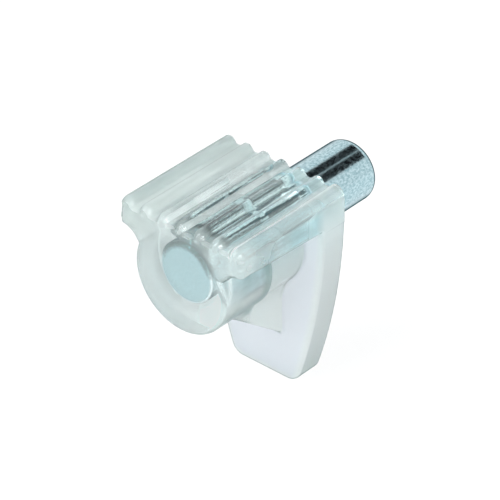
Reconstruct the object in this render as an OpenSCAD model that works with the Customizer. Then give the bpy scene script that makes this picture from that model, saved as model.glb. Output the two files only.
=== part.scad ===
// Shelf support pin: a clear moulded bracket on a steel pin.
// X is the width, +Y runs along the pin into the cabinet side, +Z is up.
// The origin is on the pin's axis, in the plane where the bracket meets the wall.

/* [Pin] */
// Diameter of the steel pin
pin_d = 5; // [3:0.1:6]
// Length of pin that stands out of the wall face
pin_out = 8; // [5:0.1:12]
// Thickness of the plastic that covers the pin's front end
pin_cover = 1.7; // [0.8:0.1:3]
// Radius of the rounded edge at the covered end
pin_head_r = 0.3; // [0.1:0.05:0.6]
// Radius of the rounded edge at the bare end
pin_tip_r = 0.8; // [0.2:0.05:1]
// Radial gap between the pin and the plastic round it
pin_fit = 0.02; // [0.01:0.01:0.1]
// Width of the lock groove round the pin, just inside the wall face
groove_w = 0.9; // [0.7:0.1:1.5]
// Width of the second lock groove
groove_2_w = 0.5; // [0.3:0.1:1]
// Distance from the wall face to the middle of the second lock groove
groove_2_pos = 5; // [3:0.1:7]
// Depth of both lock grooves
groove_depth = 0.25; // [0.1:0.05:0.5]

/* [Bracket] */
// Width across the bracket
body_w = 11.8; // [9.5:0.1:16]
// Length from the wall face to the front face
body_l = 11.5; // [9:0.1:16]
// Radius of the upright front corners
corner_r = 0.85; // [0.3:0.05:1.5]

/* [Pad] */
// Height of the rib crests above the pin's axis
pad_top = 4.5; // [3.6:0.05:6]
// Thickness of the pad at its front, up to the rib crests
pad_t = 2.45; // [1.8:0.05:3]
// Slope of the underside in degrees, which thickens the pad towards the wall
pad_draft = 2.6; // [0:0.1:4]
// Distance between rib crests
rib_pitch = 1.72; // [1.2:0.02:3]
// Radius of a rib's round crest
rib_r = 0.56; // [0.3:0.02:0.8]
// Depth of the flat valleys below the crests
rib_h = 0.48; // [0.2:0.02:0.55]
// Least distance from the outer crests to the sides
rib_margin = 0.5; // [0.3:0.1:2]
// Radius of the long top edges
pad_side_r = 0.8; // [0.4:0.1:1.2]
// Radius of the top front edge
pad_front_r = 0.85; // [0.4:0.05:1.2]
// Radius of the long lower edges
pad_under_r = 0.45; // [0.2:0.05:0.8]
// Drop of the sloped haunches between the pad and the boss
haunch_drop = 0.8; // [0.3:0.1:1.2]
// Distance from the pad's sides to each haunch
haunch_inset = 1; // [0.5:0.1:2]

/* [Boss] */
// Diameter of the boss at its front collar
boss_d = 8.7; // [7.5:0.1:10.5]
// Distance of the boss's axis below the pin's axis
boss_drop = 0.4; // [0:0.1:0.8]
// Length of the front collar
collar_l = 5.3; // [3:0.1:7]
// Step from the collar down to the rest of the boss
collar_step = 0.2; // [0.1:0.05:0.5]
// Radius of the collar's front edge
collar_r = 0.45; // [0.1:0.05:0.8]

/* [Leg] */
// Height of the leg below the pin's axis
leg_h = 13; // [10:0.05:18]
// Thickness of the leg
leg_t = 2.45; // [1.8:0.05:3.5]
// Radius of the long bowed sides
leg_side_r = 49; // [35:1:80]
// Height above the pin's axis where the sides start to bow
leg_bow_top = 3.4; // [0:0.1:4]
// Radius of the two bottom corners
leg_corner_r = 0.8; // [0.3:0.1:1.5]
// Radius along the front edges of the leg
leg_edge_r = 0.35; // [0.1:0.05:0.6]

/* [Web] */
// Thickness of the web under the boss
web_t = 3.9; // [2:0.1:6]
// Radius of the blends between the web and the boss
web_blend_r = 4; // [1:0.1:6]
// Depth of the web's foot on the leg, below the pin's axis
web_foot = 8.9; // [7:0.1:11]
// Distance of the web's nose behind the front face
web_nose = 3.6; // [1:0.1:5]

/* [Hidden] */
$fn = 96;

// how far bounding and cutting shapes reach past the solid
over = 1;
// distance between the first lock groove and the wall face
groove_inset = 0.12;
// how far the bowed sides trim the rounds of the leg's bottom corners
corner_lap = 0.02;

pin_r = pin_d / 2;
pin_front = pin_cover - body_l;
// where the two lock grooves end towards the wall face, and how wide each is
grooves = [[-groove_inset, groove_w], [groove_2_w / 2 - groove_2_pos, groove_2_w]];
half_w = body_w / 2;
pad_under = pad_top - pad_t;
valley_z = pad_top - rib_h;
rib_n = 1 + floor((body_w - 2 * rib_margin) / rib_pitch);
boss_r = boss_d / 2;
neck_r = boss_r - collar_step;
// how deep the pad, haunches, boss and web run into the leg to join it
joint_y = -leg_t / 2;
// centre of the right-hand bowed side
bow_x = half_w - leg_side_r;
// centre of the round between a bowed side and the bottom edge
toe_z = leg_corner_r - leg_h;
toe_x = corner_lap + bow_x
    + sqrt(pow(leg_side_r - leg_corner_r, 2) - pow(leg_bow_top - toe_z, 2));
// centre of the round that blends the web's right-hand side into the boss
blend_x = web_t / 2 + web_blend_r;
blend_z = -boss_drop - sqrt(pow(neck_r + web_blend_r, 2) - pow(blend_x, 2));

// Extrudes an outline drawn in X and Z along Y, from y0 to y1
module along_y(y0, y1) {
    translate([0, y1, 0]) rotate([90, 0, 0]) linear_extrude(y1 - y0) children();
}

// Extrudes an outline drawn in Y and Z along X, centred on the pin's axis
module along_x(w) {
    rotate([90, 0, 90]) translate([0, 0, -w / 2]) linear_extrude(w) children();
}

// Turns an outline drawn in radius and distance along Y, about the Y axis
module about_y() {
    rotate([-90, 0, 0]) rotate_extrude() children();
}

// A rectangle from a to b, with a radius for each corner: lower left, lower
// right, upper right and upper left
module round_rect(a, b, radii) {
    corners = [a, [b[0], a[1]], b, [a[0], b[1]]];
    difference() {
        translate(a) square(b - a);
        for (i = [0:3]) if (radii[i] > 0)
            translate(corners[i]) rotate(90 * i) corner_cut(radii[i]);
    }
}

// What a round takes off a corner at the origin, whose sides run along +X and +Y
module corner_cut(r) {
    difference() {
        square(2 * r, center = true);
        translate([r, r]) circle(r);
    }
}

// The pad's cross-section: flat valleys, round ribs and rounded long edges
module rib_section(low) {
    outer_crest = (rib_n - 1) / 2 * rib_pitch;
    intersection() {
        union() {
            translate([-half_w, low]) square([body_w, valley_z - low]);
            for (i = [0:rib_n - 1])
                translate([i * rib_pitch - outer_crest, pad_top - rib_r]) circle(rib_r);
            // the outer ribs run on level to the sides
            for (s = [-1, 1])
                translate([s * (outer_crest + half_w) / 2, pad_top - rib_h / 2])
                    square([half_w - outer_crest, rib_h], center = true);
        }
        round_rect([-half_w, low], [half_w, pad_top], [0, 0, pad_side_r, pad_side_r]);
    }
}

// The ribbed plate that the shelf rests on
module pad() {
    low = pad_under - over;
    intersection() {
        along_y(-body_l, 0) rib_section(low);
        // side view, with the rounded top front edge
        along_x(body_w) round_rect([-body_l, low], [0, pad_top], [0, 0, 0, pad_front_r]);
        // plan view, with the rounded upright corners
        translate([0, 0, low]) linear_extrude(pad_top - low)
            round_rect([-half_w, -body_l], [half_w, 0], [corner_r, corner_r, 0, 0]);
        // the sloped underside, which hangs from its front edge
        translate([0, -body_l, pad_under]) rotate([-pad_draft, 0, 0])
            along_y(-over, body_l + over)
                round_rect([-half_w, 0], [half_w, 2 * pad_t], [pad_under_r, pad_under_r, 0, 0]);
    }
}

// The sloped shoulders that carry the pad on the boss
module haunches() {
    top_x = half_w - haunch_inset;
    foot_x = top_x - haunch_drop;
    foot_z = pad_under - haunch_drop;
    along_y(-body_l, joint_y)
        polygon([[-foot_x, foot_z], [foot_x, foot_z], [top_x, pad_under],
                 [foot_x, pad_under + haunch_drop], [-foot_x, pad_under + haunch_drop],
                 [-top_x, pad_under]]);
}

// The boss round the pin, with a wider collar at the front
module boss() {
    translate([0, 0, -boss_drop]) about_y() {
        round_rect([0, -body_l], [boss_r, collar_l - body_l], [0, collar_r, collar_step, 0]);
        translate([0, -body_l + collar_r]) square([neck_r, body_l - collar_r + joint_y]);
    }
}

// A disc as thick as the leg, flat at the back and rounded at its front rim
module rim_disc(r) {
    about_y() round_rect([0, -leg_t], [r, 0], [0, leg_edge_r, 0, 0]);
}

// The plate that bears on the wall, with bowed sides and rounded corners
module leg() {
    // height of the lower end of a bowed side, where its corner's round starts
    bow_foot = leg_bow_top + (toe_z - leg_bow_top) * leg_side_r / (leg_side_r - leg_corner_r);
    leg_top = pad_top - pad_side_r;
    intersection() {
        intersection_for (s = [-1, 1]) translate([s * bow_x, 0, leg_bow_top]) rim_disc(leg_side_r);
        union() {
            along_x(body_w) translate([-leg_t, bow_foot]) square([leg_t, leg_top - bow_foot]);
            along_x(2 * toe_x) round_rect([-leg_t, -leg_h], [0, bow_foot], [leg_edge_r, 0, 0, 0]);
            for (s = [-1, 1]) translate([s * toe_x, 0, toe_z]) rim_disc(leg_corner_r);
        }
    }
}

// The web under the boss, blended into it, that props it on the leg
module web() {
    boss_foot = -boss_drop - boss_r;
    slope = (web_foot + boss_foot) / (body_l - web_nose - leg_t);
    front_y = -body_l + collar_r;
    intersection() {
        along_y(front_y, joint_y) for (s = [0, 1]) mirror([s, 0]) difference() {
            polygon([[0, -boss_drop], [blend_x * neck_r / (neck_r + web_blend_r),
                (blend_z * neck_r - boss_drop * web_blend_r) / (neck_r + web_blend_r)],
                [blend_x, blend_z], [web_t / 2, blend_z], [web_t / 2, -web_foot], [0, -web_foot]]);
            translate([blend_x, blend_z]) circle(web_blend_r);
        }
        along_x(body_w)
            polygon([[front_y, 0], [front_y, boss_foot + slope * (web_nose - collar_r)],
                     [-leg_t, -web_foot], [joint_y, -web_foot], [joint_y, 0]]);
    }
}

// What the lock grooves leave free, drawn in radius and distance along Y, with a
// gap on each side
module groove_rings(gap) {
    for (g = grooves)
        translate([pin_r - groove_depth + gap, g[0] - g[1] + gap])
            square([groove_depth + over, g[1] - 2 * gap]);
}

// The blind hole that the pin fills, with the rings of plastic that lock in its grooves
module pin_space() {
    about_y() difference() {
        round_rect([0, pin_front - pin_fit], [pin_r + pin_fit, over],
                   [0, pin_head_r + pin_fit, 0, 0]);
        groove_rings(pin_fit);
    }
}

// The clear bracket, moulded in one piece
module bracket() {
    color([0.84, 0.9, 0.89, 0.45]) difference() {
        union() {
            pad();
            haunches();
            boss();
            web();
            leg();
        }
        pin_space();
    }
}

// The zinc-plated steel pin
module pin() {
    color([0.62, 0.72, 0.76]) about_y() difference() {
        round_rect([0, pin_front], [pin_r, pin_out], [0, pin_head_r, pin_tip_r, 0]);
        groove_rings(0);
    }
}

bracket();
pin();
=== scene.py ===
"""Shelf support pin: the looks of a clear moulded bracket on a zinc-plated steel pin.

Both pieces are meshed again here from their sizes, with the small fillets that the CAD leaves out. The
pin's axis is Y, the wall is at 0 and the front is at negative Y. Sizes and places are in millimetres
until they meet Blender, which has metres.
"""
import itertools
import math

import bpy
import numpy as np
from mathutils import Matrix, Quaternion, Vector


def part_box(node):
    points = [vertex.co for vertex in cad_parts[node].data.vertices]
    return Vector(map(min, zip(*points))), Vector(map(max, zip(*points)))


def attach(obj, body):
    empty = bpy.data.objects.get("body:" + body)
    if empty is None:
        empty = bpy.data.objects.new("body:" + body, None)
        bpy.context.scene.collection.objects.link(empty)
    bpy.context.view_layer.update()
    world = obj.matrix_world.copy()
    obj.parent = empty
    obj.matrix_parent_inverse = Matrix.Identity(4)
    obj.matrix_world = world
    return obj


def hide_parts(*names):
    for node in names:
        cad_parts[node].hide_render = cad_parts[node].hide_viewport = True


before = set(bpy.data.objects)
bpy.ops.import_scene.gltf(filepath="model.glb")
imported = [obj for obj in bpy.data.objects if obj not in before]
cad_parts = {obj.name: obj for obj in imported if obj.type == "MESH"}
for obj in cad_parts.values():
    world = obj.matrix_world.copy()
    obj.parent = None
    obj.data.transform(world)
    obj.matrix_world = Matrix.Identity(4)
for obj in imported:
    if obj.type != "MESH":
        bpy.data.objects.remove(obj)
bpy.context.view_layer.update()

cycles = bpy.context.scene.cycles
cycles.max_bounces = 24
cycles.transmission_bounces = 24  # light passes many surfaces on its way through the ribs
cycles.volume_bounces = 6  # the haze in the plastic is bright only with these

MM = 0.001

# ---------------------------------------------------------------- sizes from the frame
bracket_low, bracket_high = (np.array(corner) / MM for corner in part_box("bracket"))
pin_low, pin_high = (np.array(corner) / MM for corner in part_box("pin"))

HALF_W = float(bracket_high[0])  # half the bracket's width
FRONT = float(bracket_low[1])  # the front face
TOP = float(bracket_high[2])  # the rib crests
BOTTOM = float(bracket_low[2])  # the foot of the leg
PIN_R = float(pin_high[0])
PIN_FRONT = float(pin_low[1])  # the end that the boss covers
PIN_BACK = float(pin_high[1])  # the bare end

# ---------------------------------------------------------------- sizes of the bracket's features
RIB_N = 7
RIB_PITCH = 1.72
RIB_R = 0.56
RIB_H = 0.48  # from the valley to the crest
RIB_FILLET = 0.14
PAD_T = 2.45  # at the front
PAD_DRAFT = math.radians(2.6)  # the slope of the pad's underside
PAD_TOP_R = 0.8
PAD_UNDER_R = 0.42
HAUNCH_X = HALF_W - 1.0  # where the slope meets the pad's underside
HAUNCH_DROP = 0.8
HAUNCH_FILLET = 0.3
BOSS_Z = -0.4  # the boss's axis lies below the pin's
COLLAR_R = 4.35
COLLAR_BACK = FRONT + 5.3
COLLAR_EDGE_R = 0.12
NECK_R = 4.15  # the boss behind its collar
NECK_FILLET = 0.1
BOSS_FILLET = 0.16
FRONT_R = 0.45  # the round on the boss's front edge
FRONT_TOP_R = 0.85  # and on the pad's
FRONT_R_Z = 1.0  # where the one starts to grow into the other
FRONT_R_RISE = 1.8
WEB_HALF = 1.95
WEB_BLEND = 4.0  # the curve from the web into the boss
WEB_START = FRONT + 1.5
WEB_NOSE = FRONT + 3.6  # where the sloped underside meets the collar
WEB_FOOT = -8.9  # and where it meets the leg
WEB_EDGE_R = 0.3
WEB_FILLET = 0.12
LEG_T = 2.45
LEG_TOP = TOP - 0.95  # inside the pad
LEG_TOP_R = 0.2
LEG_FOOT_R = 0.8
LEG_FRONT_R = 0.35
LEG_BACK_R = 0.12
LEG_FILLET = 0.22
BOW_R = 49.0  # the curve of the leg's sides
BOW_Z = 3.4  # where it starts

# ---------------------------------------------------------------- sizes of the pin's features
HEAD_R = 0.3  # the round at the covered end
TIP_R = 0.8  # the round at the bare end
WALL_GROOVE = -0.57  # the middle of the lock groove at the wall
DEEP_GROOVE = -5.0
GROOVES = ((WALL_GROOVE, 0.9), (DEEP_GROOVE, 0.5))  # middle and width
GROOVE_DEPTH = 0.25
GRIP = 0.01  # how far the plastic reaches into the steel, so that no air is left between them
RING_DEEPER = 0.03  # the same for the rings of plastic in the grooves, towards the pin's axis
RING_WIDER = 0.15  # and on each side


# ---------------------------------------------------------------- distance functions
def round_and(a, b, r):
    """The overlap of two shapes, with the edge where they meet rounded to r."""
    return np.minimum(-r, np.maximum(a, b)) + np.hypot(np.maximum(r + a, 0), np.maximum(r + b, 0))


def round_or(a, b, r):
    """Two shapes joined, with a fillet of radius r in the corner between them."""
    return np.maximum(r, np.minimum(a, b)) - np.hypot(np.maximum(r - a, 0), np.maximum(r - b, 0))


def ease(t):
    """A smooth step from 0 to 1."""
    t = np.clip(t, 0, 1)
    return t * t * (3 - 2 * t)


def pad(x, y, z):
    """The ribbed plate that the shelf rests on, endless along Y."""
    outer_crest = (RIB_N - 1) / 2 * RIB_PITCH
    nearest = np.clip(np.round(x / RIB_PITCH), -(RIB_N // 2), RIB_N // 2) * RIB_PITCH
    across = np.where(np.abs(x) > outer_crest, 0, x - nearest)
    ribs = np.hypot(across, z - (TOP - RIB_R)) - RIB_R
    top = round_or(ribs, z - (TOP - RIB_H), RIB_FILLET)
    under = (TOP - PAD_T - z) - (y - FRONT) * math.tan(PAD_DRAFT)
    return round_and(round_and(np.abs(x) - HALF_W, top, PAD_TOP_R), under, PAD_UNDER_R)


def haunches(x, z):
    """The 45 degree shoulders under the pad, which reach as far into it as they drop below it."""
    up = z - (TOP - PAD_T)
    slope = (np.abs(x) - HAUNCH_X - up) * math.sqrt(0.5)
    return np.maximum(slope, np.abs(up) - HAUNCH_DROP)


def boss(x, y, z):
    """The round boss, with a wider collar at its front."""
    r = np.hypot(x, z - BOSS_Z)
    collar = round_and(r - COLLAR_R, y - COLLAR_BACK, COLLAR_EDGE_R)
    return round_or(collar, r - NECK_R, NECK_FILLET)


def web(x, y, z):
    """The web that props the boss on the leg; its flanks curve out to run on from the boss's round."""
    ax = np.abs(x)
    centre_x = WEB_HALF + WEB_BLEND
    centre_z = BOSS_Z - math.sqrt((NECK_R + WEB_BLEND) ** 2 - centre_x ** 2)
    meet_x = centre_x * NECK_R / (NECK_R + WEB_BLEND)
    flank = np.maximum(ax - meet_x, WEB_BLEND - np.hypot(ax - centre_x, z - centre_z))
    flank = np.maximum(flank, centre_z - z)
    section = np.minimum(ax - WEB_HALF, flank)
    run = -LEG_T - WEB_NOSE
    rise = WEB_FOOT - (BOSS_Z - COLLAR_R)
    under = ((y + LEG_T) * rise - (z - WEB_FOOT) * run) / math.hypot(run, rise)
    d = round_and(section, under, WEB_EDGE_R)
    return np.maximum(np.maximum(d, z - BOSS_Z), WEB_START - y)


def leg(x, y, z):
    """The plate that bears on the wall, with bowed sides."""
    ax = np.abs(x)
    bow = np.hypot(ax + (BOW_R - HALF_W), z - BOW_Z) - BOW_R
    outline = round_and(np.where(z > BOW_Z, ax - HALF_W, bow), BOTTOM - z, LEG_FOOT_R)
    outline = round_and(outline, z - LEG_TOP, LEG_TOP_R)
    return round_and(round_and(outline, -LEG_T - y, LEG_FRONT_R), y, LEG_BACK_R)


def bore(x, y, z):
    """The space for the pin, endless at its bare end, less the rings of plastic in the pin's grooves."""
    r = np.hypot(x, z)
    d = round_and(r - PIN_R, PIN_FRONT - y, HEAD_R) + GRIP
    for middle, width in GROOVES:
        ring = np.maximum(PIN_R - GROOVE_DEPTH - RING_DEEPER - r, np.abs(y - middle) - width / 2 - RING_WIDER)
        d = np.maximum(d, -ring)
    return d


def bracket(x, y, z):
    """The whole moulding, cut off flat at the wall and at its full width."""
    front_r = FRONT_R + (FRONT_TOP_R - FRONT_R) * ease((z - FRONT_R_Z) / FRONT_R_RISE)
    d = round_or(pad(x, y, z), haunches(x, z), HAUNCH_FILLET)
    d = round_or(d, boss(x, y, z), BOSS_FILLET)
    d = round_and(d, FRONT - y, front_r)
    d = round_or(d, web(x, y, z), WEB_FILLET)
    d = round_or(d, leg(x, y, z), LEG_FILLET)
    d = np.maximum(np.maximum(d, y), np.abs(x) - HALF_W)
    return np.maximum(d, -bore(x, y, z))


def gradient(f, points, step=0.004):
    """The slope of f along each axis."""
    slope = np.empty_like(points)
    for axis in range(3):
        offset = step * np.eye(3)[axis]
        slope[:, axis] = (f(*(points + offset).T) - f(*(points - offset).T)) / (2 * step)
    return slope


# ---------------------------------------------------------------- meshes
def surface_net(f, *axes):
    """A closed quad mesh of the surface where f is 0, on a grid with its lines at axes.

    Each grid cell that the surface crosses has one point, the mean of the places where it crosses the
    cell's edges. Each grid edge that it crosses has one quad, of the points in the four cells round it.
    """
    value = f(*np.meshgrid(*axes, indexing="ij"))
    cells = tuple(len(lines) - 1 for lines in axes)
    crossings = np.zeros(cells, int)
    total = np.zeros(cells + (3,))
    for axis, i, j in itertools.product(range(3), (0, 1), (0, 1)):
        start, end = [i, j], [i, j]
        start.insert(axis, 0)
        end.insert(axis, 1)
        v0, v1 = (value[tuple(slice(o, o + n) for o, n in zip(corner, cells))] for corner in (start, end))
        cross = (v0 < 0) != (v1 < 0)
        share = np.where(cross, v0 / np.where(cross, v0 - v1, 1), 0)
        crossings += cross
        for b, lines in enumerate(axes):
            shape = [1, 1, 1]
            shape[b] = -1
            place = lines[start[b]:start[b] + cells[b]].reshape(shape)
            if b == axis:
                place = place + share * np.diff(lines).reshape(shape)
            total[..., b] += np.where(cross, place, 0)
    used = crossings > 0
    index = np.full(cells, -1)
    index[used] = np.arange(used.sum())
    points = total[used] / crossings[used][:, None]

    faces = []
    for axis in range(3):
        change = np.diff((value < 0).astype(int), axis=axis)
        at = np.argwhere(change)
        b, c = np.roll(np.eye(3, dtype=int), -axis, 0)[1:]
        quads = np.stack([index[tuple(cell.T)] for cell in (at - b - c, at - c, at, at - b)], 1)
        inward = change[tuple(at.T)] > 0
        quads[inward] = quads[inward][:, ::-1]
        faces += quads.tolist()
    return points, faces


def spaced(*stops):
    """Grid lines from (start, step) stops; the last stop is the end."""
    lines = []
    for (a, step), (b, _) in zip(stops, stops[1:]):
        count = max(1, round((b - a) / step))
        lines += list(a + (b - a) * np.arange(count) / count)
    return np.array(lines + [stops[-1][0]])


def add_object(name, data):
    """A new object in the scene."""
    obj = bpy.data.objects.new(name, data)
    bpy.context.scene.collection.objects.link(obj)
    return obj


def smooth_piece(name, points, faces, normals=None):
    """A smooth mesh object from points in millimetres."""
    mesh = bpy.data.meshes.new(name)
    mesh.from_pydata((points * MM).tolist(), [], faces)
    mesh.polygons.foreach_set("use_smooth", [True] * len(mesh.polygons))
    mesh.update()
    if normals is not None:
        mesh.normals_split_custom_set_from_vertices(normals.tolist())
    return add_object(name, mesh)


def build_bracket():
    """The bracket, on a grid that is finest where its edges are small. The points are then moved onto
    the exact surface, and take its exact normals."""
    margin = 0.23
    xs = spaced((-HALF_W - margin, 0.115), (0, 0.115), (HALF_W + margin, 0))
    ys = spaced((FRONT - margin, 0.11), (FRONT + 2.1, 0.2),
                (COLLAR_BACK - 0.4, 0.1), (COLLAR_BACK + 0.3, 0.15),
                (DEEP_GROOVE - 0.5, 0.1), (DEEP_GROOVE + 0.5, 0.2),
                (-LEG_T - 0.5, 0.11), (margin, 0))
    zs = spaced((BOTTOM - margin, 0.13), (TOP - 1.0, 0.09), (TOP + margin, 0))
    points, faces = surface_net(bracket, xs, ys, zs)
    least_steepness = 0.05
    longest_move = 0.08
    for _ in range(5):
        slope = gradient(bracket, points)
        steepness = np.maximum((slope * slope).sum(1), least_steepness)
        move = (bracket(*points.T) / steepness)[:, None] * slope
        points -= np.clip(move, -longest_move, longest_move)
    slope = gradient(bracket, points)
    return smooth_piece("clear_bracket", points, faces, slope / np.linalg.norm(slope, axis=1)[:, None])


def lathe(name, outline, sides):
    """A closed solid of revolution about the Y axis; the outline is (radius, y) from end to end."""
    points = [[0, outline[0][1], 0]]
    for (r, y), a in itertools.product(outline[1:-1], 2 * np.pi * np.arange(sides) / sides):
        points.append([r * math.cos(a), y, r * math.sin(a)])
    points.append([0, outline[-1][1], 0])
    last = len(points) - 1
    last_ring = last - sides
    faces = []
    for k in range(sides):
        m = (k + 1) % sides
        faces.append([0, 1 + k, 1 + m])
        for ring in range(1, last_ring, sides):
            faces.append([ring + k, ring + sides + k, ring + sides + m, ring + m])
        faces.append([last_ring + k, last, last_ring + m])
    return smooth_piece(name, np.array(points, float), faces)


def build_pin():
    """The pin, with rings of points close to the edges of its grooves, which keep those edges crisp."""
    outline = [(0, PIN_FRONT), (0.5 * PIN_R, PIN_FRONT)]
    for t in np.radians(range(0, 91, 10)):
        outline.append((PIN_R - HEAD_R + HEAD_R * math.sin(t), PIN_FRONT + HEAD_R - HEAD_R * math.cos(t)))
    outline.append((PIN_R, PIN_FRONT + HEAD_R + 0.04))
    floor = PIN_R - GROOVE_DEPTH
    wall = ((PIN_R, 0.09), (PIN_R, 0.03), (PIN_R - 0.03, 0), (PIN_R - 0.06, 0),
            (floor + 0.06, 0), (floor + 0.02, 0), (floor, -0.03))  # radius and distance out from the groove
    for middle, width in reversed(GROOVES):
        outline += [(r, middle - width / 2 - out) for r, out in wall]
        outline += [(r, middle + width / 2 + out) for r, out in reversed(wall)]
    outline += [(PIN_R, y) for y in np.linspace(1, PIN_BACK - 1, 6)]
    for t in np.radians(range(0, 91, 6)):
        outline.append((PIN_R - TIP_R + TIP_R * math.cos(t), PIN_BACK - TIP_R + TIP_R * math.sin(t)))
    outline += [(0.35 * PIN_R, PIN_BACK), (0, PIN_BACK)]
    return lathe("steel_pin", outline, 160)


# ---------------------------------------------------------------- node trees
class Tree:
    """The node tree of a world or material, with short forms for its nodes.

    A value is a number or another node's output, and a mask is a value from 0 to 1.
    """

    def __init__(self, owner):
        owner.use_nodes = True
        self.owner = owner
        self.nodes = owner.node_tree.nodes
        self.links = owner.node_tree.links
        self.nodes.clear()

    def add(self, kind, inputs=(), **settings):
        """A new node, with its settings and a value or a colour, as (red, green, blue), for each input."""
        node = self.nodes.new("ShaderNode" + kind)
        for name, setting in settings.items():
            setattr(node, name, setting)
        for name, value in dict(inputs).items():
            socket = node.inputs[name]
            if isinstance(value, bpy.types.NodeSocket):
                self.links.new(value, socket)
            elif socket.type == "RGBA":
                socket.default_value = value + (1,)
            else:
                socket.default_value = value
        return node

    def calc(self, kind, *values):
        """The result of a Math node."""
        return self.add("Math", enumerate(values), operation=kind).outputs[0]

    def fold(self, kind, values):
        """The result of one Math node after another, with one more value in each."""
        result = values[0]
        for value in values[1:]:
            result = self.calc(kind, result, value)
        return result

    def all_of(self, *masks):
        """A mask that is 1 where all of the masks are."""
        return self.fold("MULTIPLY", masks)

    def most(self, *values):
        """The largest of the values."""
        return self.fold("MAXIMUM", values)

    def span(self, value, start, end, at_start=0.0, at_end=1.0):
        """Runs from at_start to at_end while the value runs from start to end."""
        inputs = {"Value": value, "From Min": start, "From Max": end, "To Min": at_start, "To Max": at_end}
        return self.add("MapRange", inputs).outputs["Result"]

    def fade(self, mask, without, within):
        """One value where the mask is 0, and another where it is 1."""
        return self.span(mask, 0.0, 1.0, without, within)

    def blend(self, mask, a, b, kind="MIX"):
        """Colour a where the mask is 0, and b, or a times b, where it is 1."""
        inputs = {"Factor": mask, "A": a, "B": b}
        return self.add("Mix", inputs, data_type="RGBA", blend_type=kind).outputs["Result"]

    def ramp(self, value, *stops):
        """A colour that runs between two stops, each (value, colour)."""
        node = self.add("ValToRGB", {"Fac": value})
        for element, (position, colour) in zip(node.color_ramp.elements, stops):
            element.position = position
            element.color = colour + (1,)
        return node.outputs["Color"]

    def shader_mix(self, mask, a, b):
        """Shader a where the mask is 0, and b where it is 1."""
        return self.add("MixShader", {"Fac": mask, 1: a.outputs[0], 2: b.outputs[0]}).outputs[0]

    def seen_plainly(self):
        """A mask that is 1 for what the camera sees, in a reflection and through the plastic too."""
        rays = self.add("LightPath").outputs
        return self.most(rays["Is Camera Ray"], rays["Is Glossy Ray"], rays["Is Transmission Ray"])


class PartTree(Tree):
    """The node tree of one of the part's materials, with short forms for places on the part."""

    def __init__(self, name):
        super().__init__(bpy.data.materials.new(name))
        self.place = self.add("TexCoord").outputs["Object"]
        self.x, self.y, self.z = self.add("SeparateXYZ", {0: self.place}).outputs

    def run(self, length, start, end, at_start=0.0, at_end=1.0):
        """As span, with the start and end of the length in millimetres."""
        return self.span(length, start * MM, end * MM, at_start, at_end)

    def zone(self, *runs):
        """A mask that is 1 where each of the runs, (length, start, end), is at its end."""
        return self.all_of(*(self.run(*run) for run in runs))

    def scaled(self, scale):
        """The place on the part, scaled along each axis."""
        return self.add("Mapping", {"Vector": self.place, "Scale": scale}).outputs["Vector"]

    def noise(self, scale, detail):
        """Noise from 0 to 1, with a scale for each axis, per metre."""
        inputs = {"Vector": self.scaled(scale), "Scale": 1.0, "Detail": detail}
        return self.add("TexNoise", inputs).outputs["Fac"]

    def from_line(self, x, z):
        """The distance from a line along Y."""
        inputs = {0: self.scaled((1, 0, 1)), 1: (x * MM, 0, z * MM)}
        return self.add("VectorMath", inputs, operation="DISTANCE").outputs["Value"]

    def facing(self):
        """0 where the surface is seen square on, and 1 at its outline."""
        return self.add("LayerWeight", {"Blend": 0.5}).outputs["Facing"]


# ---------------------------------------------------------------- the clear plastic
def plastic_roughness(m, mottle, right_side):
    """Glossy on the front face and the rib crests, matt below them, with two zones between the two."""
    boss_side = m.zone((m.y, COLLAR_BACK + 0.4, COLLAR_BACK), (m.x, -0.5, 0.5), (m.z, 2.4, 1.8))
    pad_side = m.all_of(right_side, m.run(m.y, -2.2, -4.5), m.span(mottle, 0.44, 0.56))
    below_ribs = m.fade(m.most(boss_side, pad_side), 0.46, 0.18)
    crests = m.run(m.x, -2.4, -1.2, 0.30, 0.07)
    by_height = m.run(m.z, TOP - 0.9, TOP - 0.3, below_ribs, crests)
    front_face = m.run(m.y, FRONT + 0.1, FRONT + 0.6, 0.08, 1.0)
    return m.calc("MULTIPLY_ADD", mottle, 0.05, m.calc("MINIMUM", by_height, front_face))


def leg_front_mask(m):
    """The leg's front face below the pad, inside its rounded edges; its sides bow in as in leg()."""
    below_bow = m.calc("SUBTRACT", m.z, BOW_Z * MM)
    inset = m.calc("MULTIPLY", m.calc("MULTIPLY", below_bow, below_bow), 0.5 / (BOW_R * MM))
    from_middle = m.calc("ADD", inset, m.calc("ABSOLUTE", m.x))
    return m.zone((m.y, -LEG_T - 0.17, -LEG_T - 0.07), (m.y, -LEG_T + 0.25, -LEG_T + 0.05),
                  (m.z, 2.0, 1.0), (m.z, BOTTOM + 0.2, BOTTOM + 0.7),
                  (from_middle, HALF_W - 0.15, HALF_W - 0.65))


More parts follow.
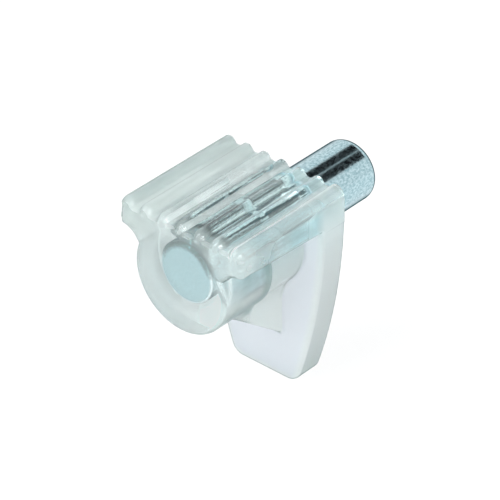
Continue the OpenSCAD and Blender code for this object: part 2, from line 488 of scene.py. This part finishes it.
def plastic_tint(m, mottle, left_ribs, right_side):
    """Nearly clear, with a faint mottle, and painted shade and painted light in a few zones."""
    # painted shade: a dark green band round the boss just behind its collar
    behind_collar = m.zone((m.y, COLLAR_BACK - 1.2, COLLAR_BACK - 0.6),
                           (m.y, COLLAR_BACK + 0.2, COLLAR_BACK - 0.2), (m.z, 2.0, 1.4), (m.z, -5.0, -4.7))
    # painted light: the leg's sides are given an even pale colour of their own
    leg_side = m.zone((m.y, -LEG_T - 0.15, -LEG_T + 0.25), (m.z, 2.0, 1.0))
    # painted shade: darker cyan patches on the right side of the pad
    pad_side = m.zone((m.y, -2.2, -3.2), (m.y, -7.5, -5.5), (m.z, TOP - 0.5, TOP - 1.2))
    shade_blotches = m.all_of(right_side, pad_side, m.span(mottle, 0.42, 0.54))
    colour = m.ramp(mottle, (0.0, (0.82, 0.92, 0.91)), (1.0, (0.86, 0.945, 0.935)))
    colour = m.blend(behind_collar, colour, (0.40, 0.54, 0.51))
    colour = m.blend(leg_side, colour, (0.86, 0.925, 0.92))
    # painted light: the leg's front face is painted a bluish white
    colour = m.blend(leg_front_mask(m), colour, (0.84, 0.91, 1.0))
    # painted shade: the ribs on the left are painted darker
    colour = m.blend(left_ribs, colour, (0.70, 0.80, 0.78))
    return m.blend(shade_blotches, colour, (0.52, 0.78, 0.82))


def painted_outline(m, neck):
    """Painted shade: a dark outline where the plastic turns away from the camera, less the zones that stay
    light.
    """
    turned_away = m.span(m.facing(), m.run(m.z, 0.5, 2.0, 0.47, 0.55), 0.8)
    web_flank = m.all_of(neck, m.run(m.y, -LEG_T + 0.05, -LEG_T - 0.55))
    left_valleys = m.zone((m.z, TOP - 0.7, TOP - 0.6), (m.x, -5.1, -4.9), (m.y, 0.0, -0.4))
    light = m.most(web_flank, m.calc("MULTIPLY", left_valleys, 0.75))
    return m.all_of(turned_away, m.fade(light, 1.0, 0.0))


def plastic_haze(m, neck, left_ribs):
    """How dense the haze is, per metre; it is thin over the pin, which shows through the ribs there."""
    over_pin = m.zone((m.x, -2.4, -1.2), (m.x, 4.6, 3.6), (m.y, FRONT + 0.8, FRONT + 1.8), (m.z, 1.2, 2.2))
    round_head = m.zone((m.from_line(0.4, 0.4), PIN_R + 0.3, PIN_R + 0.7), (m.y, FRONT + 2.8, FRONT + 1.4))
    usual = 100.0
    dense = m.most(m.fade(neck, usual, 420.0), m.fade(round_head, usual, 450.0),
                   m.fade(left_ribs, usual, 170.0))
    return m.fade(over_pin, dense, 12.0)


def clear_plastic():
    """Clear moulded plastic, a little milky."""
    m = PartTree("clear_plastic")
    mottle = m.noise((220, 220, 220), 4.0)
    neck = m.zone((m.y, COLLAR_BACK - 0.2, COLLAR_BACK + 0.4), (m.z, 2.2, 1.4))
    left_ribs = m.zone((m.x, -1.5, -2.5), (m.z, 1.8, 2.6))
    right_side = m.run(m.x, HALF_W - 0.6, HALF_W - 0.3)
    # painted shade: the dark outline's colour laid over the tint
    colour = m.blend(painted_outline(m, neck), plastic_tint(m, mottle, left_ribs, right_side),
                     (0.10, 0.19, 0.18))
    surface = m.add("BsdfPrincipled", {
        "IOR": 1.49, "Transmission Weight": 0.96,
        "Base Color": colour, "Roughness": plastic_roughness(m, mottle, right_side)})
    haze = m.add("VolumeScatter", {
        "Color": (0.90, 0.958, 0.962), "Density": plastic_haze(m, neck, left_ribs)})
    m.add("OutputMaterial", {"Surface": surface.outputs["BSDF"], "Volume": haze.outputs["Volume"]})
    return m.owner


# ---------------------------------------------------------------- the steel
def steel():
    """Zinc-plated steel with a fine mottle, and a painted reflection on its top where it is moulded in: dark
    streaks with light ones between.
    """
    m = PartTree("zinc_plated_steel")
    grain = m.noise((6500, 4200, 6500), 2.0)
    streaks = m.calc("ADD", m.noise((2400, 110, 2400), 2.0), m.span(grain, 0.3, 0.7, -0.04, 0.04))
    behind_end = m.run(m.y, PIN_FRONT + 0.01, PIN_FRONT + 0.06)  # 0 on the covered end's flat face
    upper = m.run(m.z, 0.3, 1.2)

    colour = m.ramp(grain, (0.32, (0.31, 0.48, 0.53)), (0.64, (0.54, 0.72, 0.77)))
    # painted reflection: dark streaks with bright ones between, on the pin's top inside the plastic, laid
    # over the grain
    streak_reflection = m.ramp(streaks, (0.41, (0.01, 0.12, 0.14)), (0.45, (1.65, 1.38, 1.30)))
    moulded_in = m.all_of(m.run(m.y, -0.1, -0.4), behind_end, m.run(m.z, 0.8, 1.6))
    colour = m.blend(moulded_in, colour, m.blend(1.0, colour, streak_reflection, "MULTIPLY"))
    colour = m.blend(m.fade(behind_end, 0.4, 0.0), colour, (0.40, 0.58, 0.63))

    # a painted highlight on the lower half of the covered end's round, and painted shade round its upper half
    head_round = m.all_of(behind_end, m.run(m.y, PIN_FRONT + HEAD_R + 0.06, PIN_FRONT + HEAD_R))
    colour = m.blend(m.all_of(head_round, m.fade(upper, 1.0, 0.0)), colour, (0.92, 0.97, 1.0))
    head_rim = m.zone((m.from_line(0, 0), PIN_R - 0.6, PIN_R - 0.25), (m.y, PIN_FRONT + 1.1, PIN_FRONT + 0.7))
    shade = m.ramp(grain, (0.44, (0.01, 0.04, 0.04)), (0.64, (0.2, 0.32, 0.33)))
    colour = m.blend(m.all_of(head_rim, upper), colour, shade)

    # painted shade: a thin dark outline, where the steel is no mirror; it is wider on the round of the bare
    # end
    tip = m.run(m.y, PIN_BACK - TIP_R, PIN_BACK - TIP_R / 2)
    outline = m.span(m.facing(), m.fade(tip, 0.68, 0.42), m.fade(tip, 0.82, 0.62))
    colour = m.blend(outline, colour, (0.03, 0.07, 0.08))

    # the steel is duller round the lock grooves
    deep_ring = m.zone((m.y, DEEP_GROOVE - 0.55, DEEP_GROOVE - 0.3),
                       (m.y, DEEP_GROOVE + 0.55, DEEP_GROOVE + 0.3))
    wall_ring = m.zone((m.y, -1.2, -1.0), (m.y, 0.0, -0.1))
    dull = m.calc("MULTIPLY", m.most(deep_ring, wall_ring), 0.6)
    surface = m.add("BsdfPrincipled", {
        "Specular IOR Level": 0.0, "Metallic": m.span(outline, 0.2, 1.0, 1.0, 0.0),
        "Base Color": colour, "Roughness": m.most(m.span(grain, 0.3, 0.7, 0.12, 0.24), dull)})
    m.add("OutputMaterial", {"Surface": surface.outputs["BSDF"]})
    return m.owner


# ---------------------------------------------------------------- the object
body = build_bracket()
body.data.materials.append(clear_plastic())
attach(body, "root")
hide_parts("bracket")

rod = build_pin()
rod.data.materials.append(steel())
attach(rod, "root")
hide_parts("pin")


# ---------------------------------------------------------------- stage, light and camera
def stage_floor():
    """White paper just under the leg, which is seen as plain white with a faint shadow."""
    reach = 3.0
    z = BOTTOM * MM - 0.0002
    mesh = bpy.data.meshes.new("floor")
    mesh.from_pydata([(-reach, -reach, z), (reach, -reach, z), (reach, reach, z), (-reach, reach, z)],
                     [], [(0, 1, 2, 3)])
    floor = add_object("floor", mesh)
    tree = Tree(bpy.data.materials.new("floor_paper"))
    paper = tree.add("BsdfDiffuse", {"Color": (0.95, 0.95, 0.95)})
    glow = tree.add("Emission", {"Strength": 1.0})
    glowing = tree.calc("MULTIPLY", tree.seen_plainly(), 0.8)
    tree.add("OutputMaterial", {"Surface": tree.shader_mix(glowing, paper, glow)})
    mesh.materials.append(tree.owner)


def world_light():
    """A pale sky that lights the object, and is seen as plain white."""
    world = bpy.data.worlds.new("studio")
    bpy.context.scene.world = world
    tree = Tree(world)
    sky = tree.add("Background", {"Color": (0.95, 0.98, 1.0), "Strength": 0.6})
    white = tree.add("Background", {"Color": (1.0, 1.0, 1.0), "Strength": 1.0})
    tree.add("OutputWorld", {"Surface": tree.shader_mix(tree.seen_plainly(), sky, white)})


def aim(obj, place, target, roll=0.0):
    """Puts a lamp or a camera at a place, turned to look at its target."""
    turn = (place - target).to_track_quat("Z", "Y") @ Quaternion((0, 0, 1), roll)
    obj.rotation_euler = turn.to_euler()
    obj.location = place


def area_light(name, direction, distance, power):
    """A soft square lamp that is turned to the object's middle; the distance is in metres."""
    data = bpy.data.lights.new(name, "AREA")
    data.size = 0.4
    data.energy = power
    middle = Vector((0, -3, -2)) * MM
    aim(add_object(name, data), Vector(direction).normalized() * distance, middle)


def dark_card(name, across, along):
    """A curved dark card above the pin, which makes a dark band along it.

    The camera doesn't see the card, only what mirrors it or looks out at it through the plastic. The card
    spans degrees from straight up: across turns about the pin, and along tilts towards its bare end.
    """
    radius = 0.3
    count = 9
    points = []
    faces = []
    for i, tilt in enumerate(np.radians(np.linspace(*along, count))):
        for j, turn in enumerate(np.radians(np.linspace(*across, count))):
            points.append((radius * math.sin(turn) * math.cos(tilt), radius * math.sin(tilt),
                           radius * math.cos(turn) * math.cos(tilt)))
            if i and j:
                k = i * count + j
                faces.append((k - count - 1, k - count, k, k - 1))
    mesh = bpy.data.meshes.new(name)
    mesh.from_pydata(points, [], faces)
    card = add_object(name, mesh)
    tree = Tree(bpy.data.materials.new(name + "_cloth"))
    cloth = tree.add("BsdfDiffuse", {"Color": (0.002, 0.002, 0.003)})
    tree.add("OutputMaterial", {"Surface": cloth.outputs["BSDF"]})
    mesh.materials.append(tree.owner)
    card.visible_camera = False
    card.visible_diffuse = False
    card.visible_shadow = False
    card.visible_volume_scatter = False


def make_camera():
    """The camera, which looks down on the object from its front right, a little rolled."""
    data = bpy.data.cameras.new("camera")
    data.sensor_width = 36.0
    data.lens = 226.04
    data.clip_start = 0.01
    camera = add_object("camera", data)
    place = Vector((128.416, -145.029, 127.227))
    target = Vector((-0.419, -3.355, -1.971))
    aim(camera, place * MM, target * MM, math.radians(-1.038))
    bpy.context.scene.camera = camera


stage_floor()
world_light()
dark_card("flag_left", (-28, 4.5), (12, 50))
dark_card("flag_right", (7.5, 40), (12, 50))
area_light("key", (-0.3, -0.7, 0.8), 0.5, 2.6)
area_light("fill", (1.0, -0.5, 0.45), 0.6, 4.2)
make_camera()
bpy.context.scene.view_settings.view_transform = "Standard"
